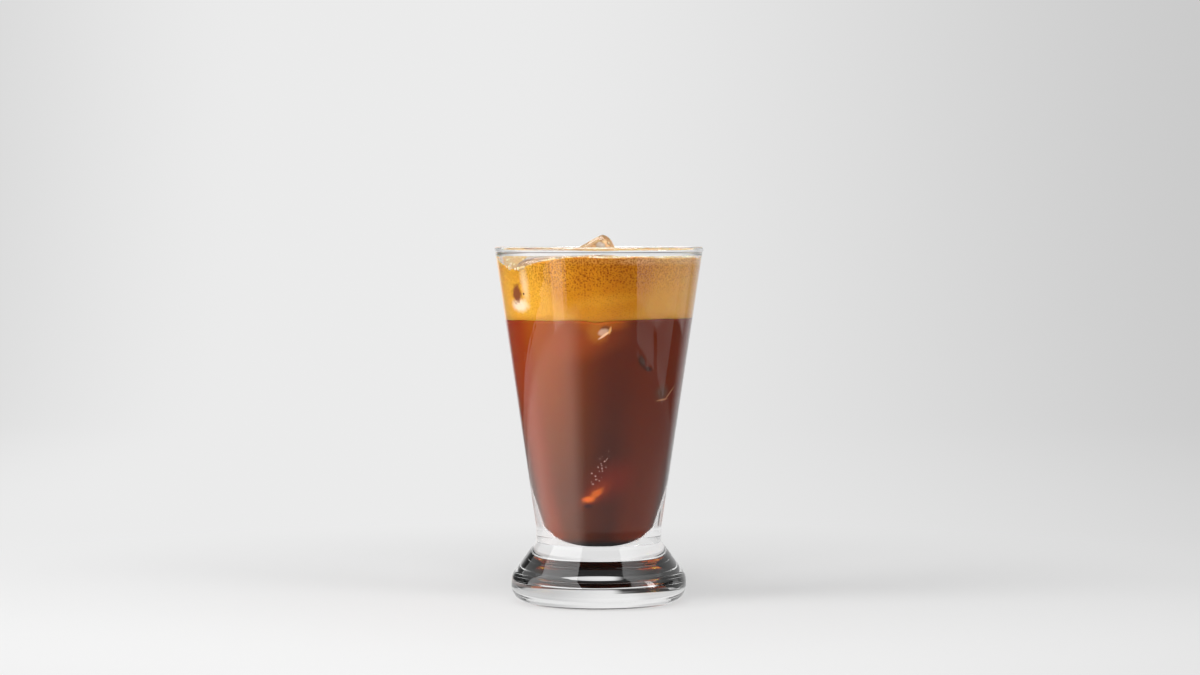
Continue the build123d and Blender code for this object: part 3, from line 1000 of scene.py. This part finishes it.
pane_end = n.ramp(n.plus(near, wavy), 0.345, 0.365)
pane_a = n.times(half_plane(*PANE_LEFT), half_plane(*BAR_LEFT), pane_end)
pane_b = n.times(half_plane(*BAR_RIGHT), half_plane(*PANE_RIGHT), pane_end)
panes = n.plus(n.times(pane_a, LEFT_PANE_GLOW), n.times(pane_b, RIGHT_PANE_GLOW))
foam_from = n.turn_ramp(bearing, 74, 131, 0.43, 0.71, False)
in_foam = n.ramp(n.minus(near, foam_from), -0.01, 0.02)  # the pale layer's mirror
panes = n.times(panes, n.ramp(in_foam, 0.0, 1.0, 0.50, 1.0))
far_right = n.times(half_plane(*PANE_LEFT), in_foam,
                    n.ramp(half_plane(*PANE_RIGHT), 0.0, 1.0, 0.76, 1.0),
                    n.turn_ramp(bearing, 138, 122))
panes = n.math("MAXIMUM", panes, n.times(far_right, FOAM_PANE_GLOW))
print("after the panes:", len(n.tree.nodes), "nodes")

# %% Floor: the mirror's sum and the shader
WINDOW_GLOW, STRIPE_GLOW = 1.55, 1.3
base = n.times(n.ramp(near, 0.08, 0.36, 0.72, 0.36), n.ramp(near, 0.37, 0.43, 1.0, 0.35))
behind = n.math("MAXIMUM", n.turn_ramp(bearing, 112, 150, 0.0, 0.76),
                n.turn_ramp(bearing, -142, -165, 0.0, 0.76))
mirror = n.plus(base, n.plus(n.times(left, WINDOW_GLOW), panes), n.times(stripe, STRIPE_GLOW))
mirror = n.math("MAXIMUM", mirror, behind)
tint = n.mix(n.math("ADD", left, 0.0, clamp=True), (1.0, 1.0, 1.0), (1.22, 1.02, 0.96))
shine = n.add("ShaderNodeEmission", {"Color": tint, "Strength": mirror})
plain = n.add("ShaderNodeMixShader", {0: see, 1: lit.outputs[0], 2: ground.outputs[0]})
whole = n.add("ShaderNodeMixShader", {0: mirrored, 1: plain.outputs[0], 2: shine.outputs[0]})
n.link(whole.outputs[0], out.inputs["Surface"])
print("studio_sweep has", len(n.tree.nodes), "nodes")

# %% The sweep's mesh
SWEEP_Y, SWEEP_R, SWEEP_TOP, SWEEP_HALF = 1.05, 0.35, 0.70, 3.0  # metres
FLOOR_Z = -0.00015  # a hair under the foot, so that the two don't share a plane
bend = np.linspace(0, np.pi / 2, 24)
sweep_y = np.concatenate([[-3.0, -1.0, 0.0], SWEEP_Y + SWEEP_R * np.sin(bend),
                          [SWEEP_Y + SWEEP_R]])
sweep_z = np.concatenate([[FLOOR_Z] * 3, FLOOR_Z + SWEEP_R * (1 - np.cos(bend)), [SWEEP_TOP]])
rows = np.stack([np.stack([np.full_like(sweep_y, s), sweep_y, sweep_z], -1)
                 for s in (-SWEEP_HALF, SWEEP_HALF)], 1)
mesh = bpy.data.meshes.new("studio_sweep")
index = np.arange(len(rows) - 1) * 2
mesh.from_pydata(rows.reshape(-1, 3).tolist(), [],
                 np.stack([index, index + 1, index + 3, index + 2], -1).tolist())
mesh.polygons.foreach_set("use_smooth", np.full(len(mesh.polygons), True))
sweep = bpy.data.objects.new("studio_sweep", mesh)
bpy.context.scene.collection.objects.link(sweep)
mesh.materials.append(floor_mat)
print("sweep:", len(mesh.polygons), "faces,", 2 * SWEEP_HALF, "m wide")

# %% [markdown]
# ## The room
# The foot and the rim mirror what is above the floor: a round softbox overhead, a tall
# window on the left, narrow strips on the right and the grey walls of the room. Lamps with
# real shapes would mirror too, but they would also light the coffee where they shouldn't.
# So these stand in the world and only mirrored rays meet them, while the lamps further down
# do the lighting.

# %% World: softbox, window and strips
SOFTBOX, TALL_WINDOW, STRIP, DARK_ROOM = 13.5, 4.0, 13.0, 0.06
world = bpy.data.worlds.new("studio")
bpy.context.scene.world = world
world.use_nodes = True
world.node_tree.nodes.clear()
n = Nodes(world.node_tree)
out = n.add("ShaderNodeOutputWorld")
dx, dy, dz = n.xyz(n.add("ShaderNodeTexCoord").outputs["Generated"])
path, see, mirrored = kinds_of_ray(n)
bearing = n.bearing(dx, dy)
height = n.math("ARCSINE", dz)
# an overhead oval softbox, by where a ray meets the plane z = 1
over = n.math("MAXIMUM", dz, 0.001)
flat_x = n.math("DIVIDE", n.plus(n.math("DIVIDE", dx, over), 0.055), 0.50)
flat_y = n.math("DIVIDE", n.minus(n.math("DIVIDE", dy, over), 0.06), 0.40)
overhead = n.times(n.ramp(n.length(flat_x, flat_y), 1.02, 0.98), SOFTBOX)


def beyond_plane(a, b, c, soft):
    """1 where a dx + b dy + c dz is over 0: a straight edge, seen from the glass."""
    total = n.plus(n.times(dx, a), n.plus(n.times(dy, b), n.times(dz, c)))
    return n.ramp(total, -soft, soft)


window = n.times(beyond_plane(-1.0, 0.38, -0.254, 0.012),
                 beyond_plane(-0.293, -1.0, 0.077, 0.02))
strip = n.times(n.turn_ramp(bearing, 67, 69), n.turn_ramp(bearing, 80, 78),
                n.turn_ramp(height, 40, 20))
glossy = n.plus(n.plus(DARK_ROOM, overhead),
                n.plus(n.times(window, TALL_WINDOW), n.times(strip, STRIP)))
print("lights of the room:", len(n.tree.nodes), "nodes")

# %% World: the walls, and what each kind of ray meets
AMBIENT, WALL_BEHIND, OPEN_VIEW = 0.30, 0.78, 0.885
# the far walls of the room: a grey veil on the foot's flare, right and left of its middle
veil = n.times(beyond_plane(0.417, 0.377, -0.078, 0.012), n.turn_ramp(bearing, 60, 112, 3.0, 0.9))
veil = n.math("MAXIMUM", veil, n.turn_ramp(bearing, -78, -96, 0.0, 0.9))
glossy = n.math("MAXIMUM", glossy, n.times(veil, n.turn_ramp(height, 4, 14)))
behind = n.times(n.turn_ramp(n.math("ABSOLUTE", bearing), 114, 148),
                 n.turn_ramp(height, 50, 30))
glossy = n.math("MAXIMUM", glossy, n.times(behind, WALL_BEHIND))
seen_world = n.turn_ramp(height, 20, 24, 0.80, 0.03)
# past the floor's far edge the open view goes on in the floor's own grey
seen_world = n.math("MAXIMUM", seen_world, n.times(path["Is Camera Ray"], OPEN_VIEW))
other = n.minus(1.0, n.math("ADD", see, mirrored, clamp=True))
level = n.plus(n.times(see, seen_world), n.times(mirrored, glossy), n.times(other, AMBIENT))
back = n.add("ShaderNodeBackground", {"Strength": level})
n.link(back.outputs[0], out.inputs[0])
print("the world has", len(n.tree.nodes), "nodes")

# %% [markdown]
# ## Lamps
# Three softboxes: a key above the front, a stronger one on the side of the window, and a
# weaker fill on the right. The glass would mirror them as hard rectangles, so they are
# hidden from camera, glossy and bent rays, and the studio's patterns are mirrored instead.

# %% Lamps
LAMP_AIM = Vector((0, 0, 0.08))


def area_lamp(name, location, size_x, size_y, power):
    """A rectangular softbox, aimed at the glass, that lights but isn't itself seen in it."""
    data = bpy.data.lights.new(name, "AREA")
    data.shape, data.size, data.size_y, data.energy = "RECTANGLE", size_x, size_y, power
    lamp = bpy.data.objects.new(name, data)
    bpy.context.scene.collection.objects.link(lamp)
    lamp.location = location
    lamp.rotation_euler = (LAMP_AIM - Vector(location)).to_track_quat("-Z", "Y").to_euler()
    lamp.visible_camera = lamp.visible_glossy = lamp.visible_transmission = False
    print(name, power, "W")


area_lamp("key_top", (-0.1, -0.75, 1.25), 0.9, 0.9, 15)
area_lamp("side_left", (-1.15, -0.55, 0.45), 0.7, 0.9, 22)
area_lamp("fill_right", (1.1, -0.75, 0.40), 0.5, 0.9, 11)
